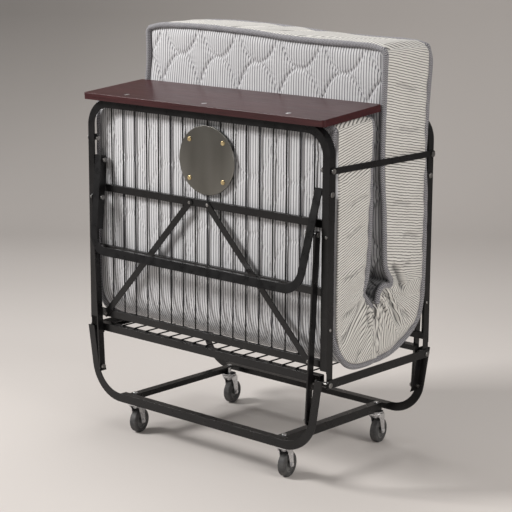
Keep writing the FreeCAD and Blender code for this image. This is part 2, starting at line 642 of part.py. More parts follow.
def build():
    nodes = {}
    front_bow = bow()
    nodes["front_bow"] = front_bow
    nodes["rear_bow"] = mirror_y(front_bow)
    nodes["carriage_bars"] = both(carriage_bar())
    rail = center_rail()
    nodes["center_front_rail"] = rail
    nodes["center_rear_rail"] = mirror_y(rail)
    nodes["side_rails"] = both(side_rail())
    nodes["center_wires"] = center_wires()
    bolt = hinge_bolt()
    nodes["hinge_bolts"] = both(bolt) + both(mirror_y(bolt))
    bolt = foot_bolt()
    nodes["link_foot_bolts"] = both(bolt) + both(mirror_y(bolt))
    nodes["mattress_center"] = mattress_center()

    mounts = []
    for name, sx, sy in (("fl", -1, -1), ("fr", 1, -1), ("rl", -1, 1), ("rr", 1, 1)):
        mounts.append(at_caster(caster_mount(), sx, sy))
        nodes["caster_fork_" + name] = at_caster(caster_fork(), sx, sy)
        nodes["caster_axle_" + name] = at_caster(caster_axle(), sx, sy)
        nodes["caster_hub_" + name] = at_caster(caster_hub(), sx, sy)
        nodes["caster_tyre_" + name] = at_caster(caster_tyre(), sx, sy)
    nodes["caster_mounts"] = mounts

    frame = deck_frame()
    bottom, bars = deck_bars()
    bottom = drill_rivets(bottom)
    bars = [drill_rivets(bars[0]), bars[1]]
    shared = {
        "deck_frame": frame,
        "deck_bottom_rail": bottom,
        "deck_crossbars": bars,
        "deck_wires": deck_wires(),
        "deck_braces": [brace(top, foot) for top, foot in BRACES],
        "deck_rivets": brace_rivets(),
        "leg_pivot_bolts": leg_pivot_bolts(),
        "leg_frame": leg(),
        "link_pins": link_pins(),
    }
    for name, item in shared.items():
        nodes["front_" + name] = item
        if isinstance(item, list):
            nodes["rear_" + name] = [mirror_y(s) for s in item]
        else:
            nodes["rear_" + name] = mirror_y(item)

    # only the front deck carries the latch pivots, the rear deck the studs
    hole = cyl("x", HALF - 10, HALF + 5, -HINGE_Y, LATCH_Z, PIN_R + FIXED_FIT)
    front = nodes["front_deck_frame"].cut(hole).cut(mirror_x(hole))
    for x in SCREW_XS:
        peg = board_place(cyl("z", -8.0, BOARD_T, x, SCREW_BACK, 2.7))
        front = front.cut(peg)
    nodes["front_deck_frame"] = front
    hole = cyl("x", HALF - 10, HALF + 5, STUD_Y, STUD_Z, STUD_R + FIXED_FIT)
    nodes["rear_deck_frame"] = nodes["rear_deck_frame"].cut(hole).cut(mirror_x(hole))

    bar = link()
    nodes["link_fr"] = bar
    nodes["link_fl"] = mirror_x(bar)
    nodes["link_rr"] = mirror_y(bar)
    nodes["link_rl"] = mirror_x(mirror_y(bar))

    nodes["table_board"] = table_board()
    nodes["table_screws"] = table_screws()
    nodes["plaque"] = plaque()
    nodes["plaque_screws"] = plaque_screws()
    strap = latch_bar()
    nodes["latch_bar_right"] = strap
    nodes["latch_bar_left"] = mirror_x(strap)
    nodes["latch_pivot_bolts"] = both(latch_pivot())
    nodes["latch_studs"] = both(latch_stud())
    nodes["mattress_front"] = mattress_half(-PAD_OUT, PAD_FRONT_BACK, PAD_FRONT_TOP)
    nodes["mattress_rear"] = mattress_half(PAD_REAR_FRONT, PAD_OUT, PAD_REAR_TOP)
    return nodes


def main():
    os.makedirs("parts", exist_ok=True)
    for name, item in build().items():
        shape = group(item)
        shape.exportStep("parts/" + name + ".step")


main()
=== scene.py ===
import json
import math

import bmesh
import bpy
import numpy as np
from mathutils import Matrix, Vector


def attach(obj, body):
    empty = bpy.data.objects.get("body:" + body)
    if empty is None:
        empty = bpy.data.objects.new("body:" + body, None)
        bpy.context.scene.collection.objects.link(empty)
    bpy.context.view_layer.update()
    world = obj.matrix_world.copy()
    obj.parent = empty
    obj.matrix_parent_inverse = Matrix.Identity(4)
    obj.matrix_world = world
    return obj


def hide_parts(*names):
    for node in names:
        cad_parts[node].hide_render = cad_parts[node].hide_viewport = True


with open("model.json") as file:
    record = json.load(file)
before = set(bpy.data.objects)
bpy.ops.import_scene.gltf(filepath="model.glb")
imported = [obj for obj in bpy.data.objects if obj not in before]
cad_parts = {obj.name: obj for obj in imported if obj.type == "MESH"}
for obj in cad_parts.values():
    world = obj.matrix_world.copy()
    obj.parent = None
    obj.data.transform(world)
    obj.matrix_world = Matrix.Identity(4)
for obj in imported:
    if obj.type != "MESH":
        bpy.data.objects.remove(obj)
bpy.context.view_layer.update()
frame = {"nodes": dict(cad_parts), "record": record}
nodes = frame["nodes"]
scene = bpy.context.scene


# ---- camera --------------------------------------------------------------------
CAM_AT = Vector((3.3234, -3.7087, 1.6428))
CAM_AZ = math.radians(41.85)
CAM_EL = math.radians(12.05)
CAM_ROLL = math.radians(0.29)
LENS = 117.39


def make_camera():
    """Camera of the photograph, looking at the cot from the front right."""
    level = math.cos(CAM_EL)
    back = Vector((math.sin(CAM_AZ) * level, -math.cos(CAM_AZ) * level, math.sin(CAM_EL)))
    right = Vector((math.cos(CAM_AZ), math.sin(CAM_AZ), 0))
    up = back.cross(right)
    rolled_right = right * math.cos(CAM_ROLL) + up * math.sin(CAM_ROLL)
    rolled_up = up * math.cos(CAM_ROLL) - right * math.sin(CAM_ROLL)
    data = bpy.data.cameras.new("camera")
    data.lens = LENS
    data.sensor_width = 36.0
    data.clip_end = 60.0
    cam = bpy.data.objects.new("camera", data)
    pose = Matrix((rolled_right, rolled_up, back)).transposed().to_4x4()
    pose.translation = CAM_AT
    cam.matrix_world = pose
    scene.collection.objects.link(cam)
    scene.camera = cam


# ---- materials -----------------------------------------------------------------
PLAQUE_Z = 0.898        # height of the plaque's centre


class Shader:
    """Short-hand for building one material's nodes."""

    def __init__(self, name):
        self.mat = bpy.data.materials.new(name)
        self.mat.use_nodes = True
        self.tree = self.mat.node_tree
        self.out = self.tree.nodes["Material Output"]
        self.bsdf = self.tree.nodes["Principled BSDF"]

    def node(self, kind, **values):
        n = self.tree.nodes.new(kind)
        for key, v in values.items():
            if key in n.inputs:
                n.inputs[key].default_value = v
            else:
                setattr(n, key, v)
        return n

    def link(self, a, b):
        self.tree.links.new(a, b)

    def put(self, socket, value):
        if hasattr(value, "is_output"):
            self.link(value, self.bsdf.inputs[socket])
        else:
            self.bsdf.inputs[socket].default_value = value

    def math(self, op, a, b=None, c=None, clamp=False):
        n = self.tree.nodes.new("ShaderNodeMath")
        n.operation = op
        n.use_clamp = clamp
        for i, v in enumerate((a, b, c)):
            if v is None:
                continue
            if hasattr(v, "is_output"):
                self.link(v, n.inputs[i])
            else:
                n.inputs[i].default_value = v
        return n.outputs[0]

    def coords(self, scale=(1, 1, 1)):
        geo = self.node("ShaderNodeTexCoord")
        m = self.node("ShaderNodeMapping")
        m.inputs["Scale"].default_value = scale
        self.link(geo.outputs["Object"], m.inputs["Vector"])
        return m.outputs[0]

    def attribute(self, name):
        a = self.node("ShaderNodeAttribute", attribute_name=name)
        return a.outputs["Vector"]

    def split(self, vec):
        s = self.node("ShaderNodeSeparateXYZ")
        self.link(vec, s.inputs[0])
        return s.outputs

    def noise(self, vec, scale, detail=3.0, rough=0.55):
        n = self.node("ShaderNodeTexNoise", Scale=scale, Detail=detail, Roughness=rough)
        self.link(vec, n.inputs["Vector"])
        return n.outputs["Fac"]

    def ramp(self, fac, stops):
        n = self.node("ShaderNodeValToRGB")
        e = n.color_ramp.elements
        while len(e) < len(stops):
            e.new(0.5)
        for el, (p, c) in zip(e, stops):
            el.position = p
            el.color = (*c, 1) if len(c) == 3 else c
        self.link(fac, n.inputs[0])
        return n.outputs[0]

    def remap(self, v, lo, hi, to_lo, to_hi):
        n = self.node("ShaderNodeMapRange")
        self.link(v, n.inputs["Value"])
        for key, x in (("From Min", lo), ("From Max", hi), ("To Min", to_lo), ("To Max", to_hi)):
            n.inputs[key].default_value = x
        return n.outputs[0]

    def mix(self, fac, a, b, mode="MIX"):
        n = self.node("ShaderNodeMix", data_type="RGBA", blend_type=mode)
        for sock, v in ((n.inputs[0], fac), (n.inputs[6], a), (n.inputs[7], b)):
            if hasattr(v, "is_output"):
                self.link(v, sock)
            else:
                sock.default_value = v if isinstance(v, float) else (*v, 1)
        return n.outputs[2]

    def bump(self, height, strength, distance, normal=None):
        n = self.node("ShaderNodeBump", Strength=strength, Distance=distance)
        self.link(height, n.inputs["Height"])
        if normal is not None:
            self.link(normal, n.inputs["Normal"])
        self.link(n.outputs[0], self.bsdf.inputs["Normal"])
        return n.outputs[0]

    def bevel(self, radius):
        n = self.node("ShaderNodeBevel", samples=4, Radius=radius)
        return n.outputs[0]


def enamel():
    """Black baked enamel: slight orange peel and dust."""
    s = Shader("black_enamel")
    vec = s.coords()
    blotch = s.noise(vec, 9.0, 4.0)
    s.put("Base Color", s.ramp(blotch, [(0.3, (0.0035, 0.0033, 0.0035)), (0.75, (0.009, 0.0085, 0.009))]))
    s.put("Roughness", s.remap(s.noise(vec, 40.0, 5.0), 0.3, 0.7, 0.24, 0.38))
    s.put("Specular IOR Level", 0.32)
    s.put("Coat Weight", 0.06)
    s.put("Coat Roughness", 0.12)
    s.bump(s.noise(vec, 420.0, 2.0), 0.12, 0.0004, s.bevel(0.0011))
    return s.mat


def metal(name, lo, hi, rough, scale, strength, bevel=0.0005):
    """Bare or plated metal, clouded between two colours."""
    s = Shader(name)
    vec = s.coords()
    s.put("Base Color", s.ramp(s.noise(vec, scale, 4.0), [(0.3, lo), (0.7, hi)]))
    s.put("Metallic", 1.0)
    s.put("Roughness", s.remap(s.noise(vec, scale * 4, 4.0), 0.3, 0.7, rough, rough + 0.18))
    s.bump(s.noise(vec, scale * 12, 3.0), strength, 0.0003, s.bevel(bevel))
    return s.mat


def rubber():
    s = Shader("rubber")
    vec = s.coords()
    dust = s.noise(vec, 60.0, 5.0)
    s.put("Base Color", s.ramp(dust, [(0.3, (0.030, 0.030, 0.032)), (0.7, (0.085, 0.083, 0.08))]))
    s.put("Roughness", 0.62)
    s.bump(s.noise(vec, 900.0, 3.0), 0.3, 0.0004)
    return s.mat


def hub_plastic():
    s = Shader("hub")
    vec = s.coords()
    cloud = s.noise(vec, 80.0, 3.0)
    s.put("Base Color", s.ramp(cloud, [(0.3, (0.10, 0.10, 0.10)), (0.7, (0.17, 0.17, 0.165))]))
    s.put("Roughness", 0.42)
    s.bump(s.noise(vec, 600.0, 2.0), 0.15, 0.0003, s.bevel(0.0006))
    return s.mat


def laminate():
    """Dark red-brown wood laminate, grain along the width, satin."""
    s = Shader("laminate")
    vec = s.coords((1.2, 26.0, 26.0))
    grain = s.noise(vec, 3.2, 8.0, 0.62)
    fine = s.noise(s.coords((6.0, 220.0, 220.0)), 2.0, 4.0, 0.6)
    both = s.math("ADD", s.math("MULTIPLY", grain, 0.7), s.math("MULTIPLY", fine, 0.3))
    s.put("Base Color", s.ramp(both, [(0.32, (0.022, 0.0045, 0.0055)), (0.5, (0.042, 0.0080, 0.0095)),
                                      (0.68, (0.062, 0.0130, 0.0140))]))
    s.put("Roughness", s.remap(fine, 0.3, 0.7, 0.27, 0.40))
    s.put("Specular IOR Level", 0.30)
    s.put("Coat Weight", 0.12)
    s.put("Coat Roughness", 0.20)
    s.bump(both, 0.05, 0.0006, s.bevel(0.0012))
    return s.mat


def plaque_metal():
    """Dark gunmetal disc, brushed round its centre."""
    s = Shader("plaque_metal")
    x, _, z = s.split(s.coords())
    dz = s.math("SUBTRACT", z, PLAQUE_Z)
    r = s.math("SQRT", s.math("ADD", s.math("MULTIPLY", x, x), s.math("MULTIPLY", dz, dz)))
    comb = s.node("ShaderNodeCombineXYZ")
    s.link(s.math("MULTIPLY", r, 2600.0), comb.inputs[0])
    s.link(s.math("MULTIPLY", s.math("ARCTAN2", dz, x), 1.2), comb.inputs[1])
    ring = s.noise(comb.outputs[0], 1.0, 3.0, 0.6)
    cloud = s.noise(s.coords((9.0, 9.0, 3.0)), 1.0, 2.0)
    base = s.ramp(cloud, [(0.3, (0.20, 0.193, 0.172)), (0.7, (0.36, 0.35, 0.32))])
    s.put("Base Color", s.mix(s.remap(ring, 0.3, 0.7, 0.0, 0.35), base, (0.34, 0.33, 0.30)))
    s.put("Metallic", 1.0)
    s.put("Roughness", s.remap(ring, 0.3, 0.7, 0.30, 0.40))
    s.put("Anisotropic", 0.6)
    s.bump(ring, 0.04, 0.0002, s.bevel(0.0008))
    return s.mat


# stripe pitch of the ticking, in metres
STRIPE_FACE = 0.0096
STRIPE_SIDE = 0.0078
STRIPE_CAP = 0.0105
# how far the stripes drift along the mattress per metre of its thickness
SLANT = {"side_front": 0.16, "side_rear": 0.22, "cap": 0.55}


def ticking(name, panel):
    """Striped cotton ticking.  The attribute `cloth` holds metres along the mattress,
    across it and through its thickness, so the stripes follow the cloth as it bends."""
    s = Shader(name)
    along, across, through = s.split(s.attribute("cloth"))
    wob = s.noise(s.attribute("cloth"), 14.0, 2.0)
    if panel == "face":
        line = s.math("ADD", across, s.math("MULTIPLY", wob, 0.0012))
        pitch = STRIPE_FACE
        white, cream = (0.78, 0.78, 0.79), (0.66, 0.66, 0.67)
        dark = (0.13, 0.13, 0.15)
    else:
        base = across if panel == "cap" else along
        line = s.math("ADD", base, s.math("MULTIPLY", through, SLANT[panel]))
        line = s.math("ADD", line, s.math("MULTIPLY", wob, 0.006))
        line = s.math("ADD", line, s.math("MULTIPLY", s.noise(s.attribute("cloth"), 60.0, 2.0), 0.0035))
        pitch = STRIPE_SIDE if panel != "cap" else STRIPE_CAP
        white, cream = (0.84, 0.82, 0.775), (0.66, 0.64, 0.60)
        dark = (0.085, 0.082, 0.08)
    wave = s.math("SINE", s.math("MULTIPLY", line, 2 * math.pi / pitch))
    thin = s.math("SINE", s.math("MULTIPLY", line, 4 * math.pi / pitch))
    stripe = s.remap(wave, 0.20 if panel != "cap" else -0.1, 0.85, 0.0, 0.95)
    hair = s.remap(thin, 0.55, 1.0, 0.0, 0.25)
    tone = s.mix(s.noise(s.attribute("cloth"), 22.0, 4.0), cream, white)
    col = s.mix(stripe, tone, dark)
    col = s.mix(hair, col, dark)
    # twill weave: two crossing fine waves
    weave = s.math("MULTIPLY", s.math("SINE", s.math("MULTIPLY", s.math("ADD", along, across), 2900.0)),
                   s.math("SINE", s.math("MULTIPLY", s.math("SUBTRACT", along, across), 4100.0)))
    col = s.mix(s.remap(weave, -1.0, 1.0, 0.0, 0.16), col, (0.30, 0.29, 0.28))
    # painted shade: the shade attribute of the mesh darkens the cloth to near black in the hollow, the
    # creases and the fold
    painted_shade = s.node("ShaderNodeAttribute", attribute_name="painted_shade").outputs["Fac"]
    col = s.mix(painted_shade, col, (0.030, 0.031, 0.033))
    s.put("Base Color", col)
    s.put("Roughness", 0.88)
    s.put("Sheen Weight", 0.15)
    s.put("Sheen Roughness", 0.5)
    s.put("Specular IOR Level", 0.25)
    height = s.math("ADD", s.math("MULTIPLY", weave, 0.3), s.math("MULTIPLY", stripe, -0.8))
    s.bump(height, 0.35, 0.0006)
    return s.mat


def tape_cloth():
    """Grey herringbone binding tape: chevrons along its length."""
    s = Shader("binding_tape")
    along, round_, _ = s.split(s.attribute("cloth"))
    zig = s.math("PINGPONG", round_, 0.0035)
    v = s.math("SINE", s.math("MULTIPLY", s.math("ADD", along, zig), 2 * math.pi / 0.0052))
    chev = s.remap(v, -0.35, 0.45, 0.0, 1.0)
    tone = s.noise(s.attribute("cloth"), 30.0, 3.0)
    light = s.mix(tone, (0.33, 0.325, 0.345), (0.47, 0.46, 0.465))
    col = s.mix(chev, (0.035, 0.035, 0.048), light)
    s.put("Base Color", col)
    s.put("Roughness", 0.85)
    s.put("Sheen Weight", 0.2)
    s.bump(chev, 0.4, 0.0006)
    return s.mat


# ---- mattress ------------------------------------------------------------------
SIDE_X = 0.4798         # centre of the edge tape
TAPE_R = 0.0084
STRAP_Z = 0.921         # height of the latch straps
STRAP_PINCH = 6.6       # how far a strap presses the tapes in, in mm
QUILT_W = 0.165         # one quilted diamond, across and along the mattress
QUILT_H = 0.168
QUILT_WIG = 0.85        # how strongly the quilting lines wave, 0 to 1
BAND_LIFT = 0.0105      # bulge of the side bands past the tapes
BAND_OVER = 0.0085      # how far the front band stands out where it folds over its tape
HOLLOW_DEPTH = 0.020    # depth of the hollow under the fold
OUTER_STEP = 0.0045     # spacing of the mesh along the outer and inner faces
INNER_STEP = 0.002
ACROSS = 220            # cells of the mesh across the width and through the thickness
THROUGH = 46


def smooth(t):
    """Smooth step from 0 to 1."""
    t = np.clip(t, 0, 1)
    return t * t * (3 - 2 * t)


def curve(points, step):
    """Even points along a smooth line through the given ones, and their distance along it."""
    p = np.array(points, float) / 1000.0
    seg = np.linalg.norm(np.diff(p, axis=0), axis=1)
    u = np.concatenate([[0], np.cumsum(np.sqrt(seg))])
    fine = []
    for i in range(len(p) - 1):
        p0, p1, p2, p3 = p[max(i - 1, 0)], p[i], p[i + 1], p[min(i + 2, len(p) - 1)]
        t0, t1, t2 = u[max(i - 1, 0)], u[i], u[i + 1]
        t3 = u[min(i + 2, len(p) - 1)]
        m1 = (p2 - p0) / max(t2 - t0, 1e-9) * (t2 - t1)
        m2 = (p3 - p1) / max(t3 - t1, 1e-9) * (t2 - t1)
        for k in range(24):
            t = k / 24.0
            a, b = 2 * t**3 - 3 * t**2 + 1, t**3 - 2 * t**2 + t
            c, d = -2 * t**3 + 3 * t**2, t**3 - t**2
            fine.append(a * p1 + b * m1 + c * p2 + d * m2)
    fine.append(p[-1])
    fine = np.array(fine)
    dist = np.concatenate([[0], np.cumsum(np.linalg.norm(np.diff(fine, axis=0), axis=1))])
    n = max(2, int(round(dist[-1] / step)))
    at = np.linspace(0, dist[-1], n + 1)
    out = np.stack([np.interp(at, dist, fine[:, k]) for k in range(p.shape[1])], 1)
    return out, at


# (y, z) in mm of the outer and inner faces, from the top end down to the fold
FRONT_OUT = [(-205, 1037), (-205.5, 900), (-206, 700), (-206, 520), (-204, 465), (-197, 425),
             (-182, 393), (-158, 368), (-128, 354), (-95, 349), (-60, 349), (-20, 350)]
FRONT_IN = [(-44, 1050), (-48, 900), (-54, 760), (-60, 660), (-66, 605), (-74, 574), (-70, 550),
            (-56, 530), (-32, 513)]
REAR_OUT = [(207, 1252), (213, 1190), (207, 1110), (203, 1050), (205, 950), (206, 800), (206, 640),
            (204, 550), (199, 492), (190, 455), (172, 425), (144, 402), (110, 383), (76, 368),
            (40, 356), (5, 351), (-30, 350)]
REAR_IN = [(4, 1252), (4, 1000), (8.5, 783), (15, 660), (20, 612), (32, 584), (38, 571), (16, 563),
           (-6, 550), (-18, 532), (-38, 515)]
# distance along the outer face and the distance along the inner face that lies across from it
FRONT_KNOTS = [(0, 0), (0.45, 0.43), (0.56, 0.50), (0.86, 0.58)]
REAR_KNOTS = [(0, 0), (0.60, 0.625), (0.655, 0.695), (0.70, 0.722), (0.78, 0.752), (1.10, 0.80)]
# rise of the top edge in mm at places across the width
FRONT_WAVE = [(-480, 0), (480, 0)]
REAR_WAVE = [(-480, 1), (-445, 4), (-400, 8), (-300, 11), (-190, 10), (-20, 5), (75, -3),
             (216, -7), (400, -8), (480, -12)]

# (y, z) in mm of the binding tapes, from the fold up to the top
FRONT_TAPE_OUT = [(-30, 347), (-60, 344), (-95, 344), (-128, 350), (-156, 364), (-180, 389),
                  (-195, 423), (-199, 465), (-201, 520), (-201, 700), (-201, 921), (-201, 1035)]
FRONT_TAPE_IN = [(-44, 508), (-66, 534), (-82, 556), (-74, 578), (-66, 605), (-61, 650),
                 (-55, 760), (-49, 921), (-45, 1048)]
REAR_TAPE_OUT = [(-30, 347), (5, 348), (40, 353), (76, 365), (110, 380), (144, 399), (172, 422),
                 (191, 453), (200, 492), (204, 550), (205, 640), (204, 800), (204, 921),
                 (202, 1050), (207, 1120), (213, 1190), (206, 1252)]
REAR_TAPE_IN = [(-17, 512), (-8, 545), (14, 561), (42, 556), (47, 572), (34, 590), (20, 615),
                (16, 650), (9, 783), (5, 921), (4, 1252)]
TAPE_TUCK = 14.0        # how far the band covers the front half's outer tape on the right, in mm
# radius in mm of the tape's turn at the top corners
FRONT_DROP = 16.0
REAR_DROP = 24.0

# creases of the side bands: two (y, z) ends in mm, depth and width in mm
CREASES = [
    ((-178, 607), (-92, 634), 3.0, 5.0), ((-178, 500), (-108, 538), 3.5, 5.0),
    ((-184, 430), (-90, 548), 4.5, 6.0), ((-72, 545), (-62, 452), 4.0, 6.0),
    ((8, 556), (82, 440), 4.5, 7.0), ((52, 620), (100, 540), 6.0, 11.0),
    ((75, 606), (130, 612), 3.0, 7.0), ((96, 475), (130, 450), 3.0, 6.0),
    ((-28, 392), (-12, 362), 3.0, 5.0), ((-100, 395), (-126, 352), 3.0, 5.0),
    ((-6, 452), (-36, 392), 3.5, 6.0), ((-40, 500), (-16, 462), 3.5, 4.5),
    ((-52, 492), (-30, 470), 3.0, 4.0), ((-10, 520), (20, 482), 3.0, 5.0),
    ((-150, 820), (-80, 838), 2.0, 6.0), ((60, 1010), (150, 1002), 2.0, 7.0),
    ((40, 800), (120, 790), 2.0, 8.0), ((90, 700), (165, 690), 2.5, 8.0),
    ((40, 1150), (130, 1128), 2.0, 7.0), ((-170, 730), (-100, 752), 2.0, 6.0),
]
HOLLOW = [(-52, 562), (-34, 566), (-12, 568), (14, 570), (36, 566), (-44, 542), (-35, 524)]


def creased(y, z):
    """How far the side bands stand in or out at the creases, in metres."""
    out = np.zeros_like(y)
    for (y0, z0), (y1, z1), deep, wide in CREASES:
        py, pz = (y * 1000 - y0), (z * 1000 - z0)
        dy, dz = y1 - y0, z1 - z0
        ln = math.hypot(dy, dz)
        u = (py * dy + pz * dz) / ln / ln
        d = (pz * dy - py * dz) / ln + 2.5 * np.sin(u * 7.0 + y0)
        keep = smooth((u + 0.12) / 0.25) * smooth((1.12 - u) / 0.25)
        ridge = 0.6 * np.exp(-((d - 1.7 * wide) / wide) ** 2)
        out += keep * deep * 1.5 * (ridge - np.exp(-(d / wide) ** 2))
    return out / 1000.0


def hollowed(y, z):
    """Depth of the hollow under the fold, in metres."""
    depth = np.zeros_like(y)
    for y0, z0 in HOLLOW:
        r2 = (y * 1000 - y0) ** 2 + (z * 1000 - z0) ** 2
        depth = np.maximum(depth, np.exp(-r2 / 150.0))
    return HOLLOW_DEPTH * depth


APEX = (-38.0, 515.0)   # (y, z) in mm that the gathered cloth fans out from


def fold_field(y, z, along, through):
    """Stripe coordinates of the side bands: where the cloth is gathered under the fold it
    lies in three flat tucks, each with its own stripe direction."""
    ya, za = y * 1000 - APEX[0], z * 1000 - APEX[1]
    ang = np.degrees(np.arctan2(-za, -ya))          # 0 points to the front, 90 straight down
    below = (y * 1000 + 184) * 118 - (z * 1000 - 430) * 94 > 0
    off = ((y * 1000 - 8) * 116 + (z * 1000 - 556) * 74) / math.hypot(74, 116)
    left = below & (ang < 86) & (za < 42)
    tuck = (np.abs(off) < 24) & (za < 38) & (z > 0.425) & (y > -0.012)
    mid = (ang >= 86) & (off <= -24) & (za < 5)
    along, through = along.copy(), through.copy()
    for zone, (dy, dz) in ((left, (-94, -118)), (mid, (6, -100)), (tuck, (74, -116))):
        ln = math.hypot(dy, dz)
        q = (y * dz - z * dy) / ln
        along = np.where(zone, q + 3.0, along)
        through = np.where(zone, 0.0, through)
    return along, through


def lean(co, rear):
    """The rear half's left edge stands further in above the deck."""
    if rear:
        share = smooth((co[:, 2] - 0.98) / 0.20) * smooth(-co[:, 0] / 0.48)
        co[:, 0] += 0.019 * share
    return co


def sweep_lines(out_pts, in_pts, knots):
    """Matched points of the outer face, the way from each to the inner face, and the
    distances of the outer points from the top end."""
    outer, s_out = curve(out_pts, OUTER_STEP)
    line, s_in = curve(in_pts, INNER_STEP)
    matched = np.interp(s_out, [k[0] for k in knots], [k[1] for k in knots])
    matched = matched / knots[-1][1] * s_in[-1]
    inner = np.stack([np.interp(matched, s_in, line[:, i]) for i in (0, 1)], 1)
    return outer, inner - outer, s_out


def slab(outer, thick, s_out, sign):
    """Cells of a slab's surface.  Each vertex is its place, its distance from the top end,
    x from -1 to 1, t from 0 to 1 through the slab and its three steps in the mesh."""
    ns = len(s_out)
    xs = np.linspace(-1, 1, ACROSS + 1)
    ts = np.linspace(0, 1, THROUGH + 1)
    verts, faces, mats = [], [], []
    index = {}

    def place(i, j, k):
        key = (i, j, k)
        if key not in index:
            y, z = outer[i] + thick[i] * ts[k]
            index[key] = len(verts)
            verts.append((xs[j] * SIDE_X, y, z, s_out[i], xs[j], ts[k], i, j, k))
        return index[key]

    def quad(corners, mat):
        faces.append(tuple(corners if sign < 0 else corners[::-1]))
        mats.append(mat)

    for i in range(ns - 1):
        for j in range(ACROSS):
            quad([place(i, j, 0), place(i + 1, j, 0), place(i + 1, j + 1, 0), place(i, j + 1, 0)], 0)
            quad([place(i, j, THROUGH), place(i, j + 1, THROUGH), place(i + 1, j + 1, THROUGH),
                  place(i + 1, j, THROUGH)], 0)
        for k in range(THROUGH):
            quad([place(i, 0, k), place(i, 0, k + 1), place(i + 1, 0, k + 1), place(i + 1, 0, k)], 1)
            quad([place(i, ACROSS, k), place(i + 1, ACROSS, k), place(i + 1, ACROSS, k + 1),
                  place(i, ACROSS, k + 1)], 1)
    low = ns - 1
    for j in range(ACROSS):
        for k in range(THROUGH):
            quad([place(0, j, k), place(0, j + 1, k), place(0, j + 1, k + 1), place(0, j, k + 1)], 2)
            quad([place(low, j, k), place(low, j, k + 1), place(low, j + 1, k + 1),
                  place(low, j + 1, k)], 0)
    return np.array(verts), faces, mats


def quilting(s, x, t, edge, pressed):
    """How deep the broad faces lie under the plain slab: they dip in to the tapes, and the
    quilting lines cross them in waves, puckered along the seams."""
    crown = 0.008 * np.exp(-(edge / 0.018) ** 2) - 0.0015
    zq = np.where(t < 0.5, s, s + 0.5 * QUILT_H)
    xq = x * SIDE_X / QUILT_W
    wig = QUILT_WIG * np.sin(2 * np.pi * xq) / (2 * np.pi)
    g1 = zq / QUILT_H - xq + wig
    g2 = zq / QUILT_H + xq - wig
    slope = QUILT_H / QUILT_W * (1 - QUILT_WIG * np.cos(2 * np.pi * xq))
    d1 = np.abs(g1 - np.round(g1)) * QUILT_H / np.sqrt(1 + slope**2)
    d2 = np.abs(g2 - np.round(g2)) * QUILT_H / np.sqrt(1 + slope**2)
    d = np.minimum(d1, d2)
    groove = 0.0045 * np.exp(-(d / 0.0038) ** 2) + 0.0022 * np.exp(-(d / 0.022) ** 2) - 0.0012
    groove = np.where(pressed, groove * 0.35, groove)
    seam = np.where(d1 < d2, g2, g1)
    ripple = np.sin(seam * 2 * np.pi * 11 + 2 * np.sin(x * 31)) * np.exp(-(d / 0.016) ** 2)
    groove = groove + np.where(pressed, 0.0005, 0.0012) * ripple
    return crown + groove * smooth(edge / 0.03)


def band_bulge(place, s, x, t, deep, s_total, sign):
    """How far the side bands stand out past the slab, and the crease and hollow in them.
    deep is the slab's thickness."""
    et = np.minimum(t, 1 - t) * deep                # distance from the edges of a side band
    lift = BAND_LIFT * smooth(et / 0.030) + 0.0012 * np.sin(s * 40 + t * 5)
    lift = lift + 0.0009 * np.sin(s * 93 - t * 9)
    fold = smooth((s - (s_total - 0.42)) / 0.20)
    ray = np.sin(s * 2 * np.pi / 0.043 + 1.7 * np.sin(s * 21)) * 0.5
    ray = ray + 0.5 * np.sin(s * 2 * np.pi / 0.027 + t * 3)
    lift += fold * ray * 0.0030 * smooth(t * 1.4) * smooth(et / 0.015)
    crease = creased(place[:, 1], place[:, 2]) * smooth(et / 0.012)
    hollow = hollowed(place[:, 1], place[:, 2])
    lift += crease - hollow
    if sign < 0:
        # the front band runs right up to the frame and folds over its tape
        over_tape = BAND_OVER * smooth(t * deep / 0.006) * (t < 0.3)
        lift = np.where(x > 0, np.maximum(lift, over_tape), lift)
        lift += 0.0012 * smooth((s - s_total + 0.02) / 0.015)
    else:
        lift -= 0.007 * smooth((s - s_total + 0.02) / 0.015)
    # the latch straps press the bands in, and swing up past the whole top of the front half
    above = place[:, 2] > STRAP_Z
    pinch = np.exp(-((place[:, 2] - STRAP_Z) / 0.022) ** 4)
    pinch = np.where(above & (sign < 0), 1.0, pinch)
    lift = np.where(pinch > 0.02, np.minimum(lift, BAND_LIFT - 0.0085 * pinch), lift)
    return lift, crease, hollow


def raise_cap(co, cap, t, et, ex):
    """Crowns the top end panel and gives it slanting wrinkles."""
    x = co[cap, 0]
    co[cap, 2] += 0.009 * smooth(np.minimum(et, ex)[cap] / 0.03) + 0.0015 * np.sin(x * 17)
    slash = x * 30 + t[cap] * 5 + 2.0 * np.sin(x * 11)
    wrinkle = 0.0022 * np.sin(slash) - 0.0035 * np.exp(-(np.sin(slash * 0.5 + 1) / 0.10) ** 2)
    co[cap, 2] += wrinkle * smooth(et[cap] / 0.02)


def round_top(co, top_z, top_wave, corner):
    """Lets the top edge wander and rounds the two top corners."""
    wave_x = [p[0] / 1000 for p in top_wave]
    wave_z = [p[1] / 1000 for p in top_wave]
    co[:, 2] += np.interp(co[:, 0], wave_x, wave_z) * smooth((co[:, 2] - (top_z - 0.35)) / 0.35)
    dx = np.maximum(np.abs(co[:, 0]) - (SIDE_X - corner), 0)
    dz = np.maximum(co[:, 2] - (top_z - corner + np.interp(co[:, 0], wave_x, wave_z)), 0)
    r = np.hypot(dx, dz)
    keep = np.where(r > 1e-9, np.maximum(dx, dz) / np.maximum(r, 1e-9), 1.0)
    co[:, 0] -= np.sign(co[:, 0]) * dx * (1 - keep)
    co[:, 2] -= dz * (1 - keep)


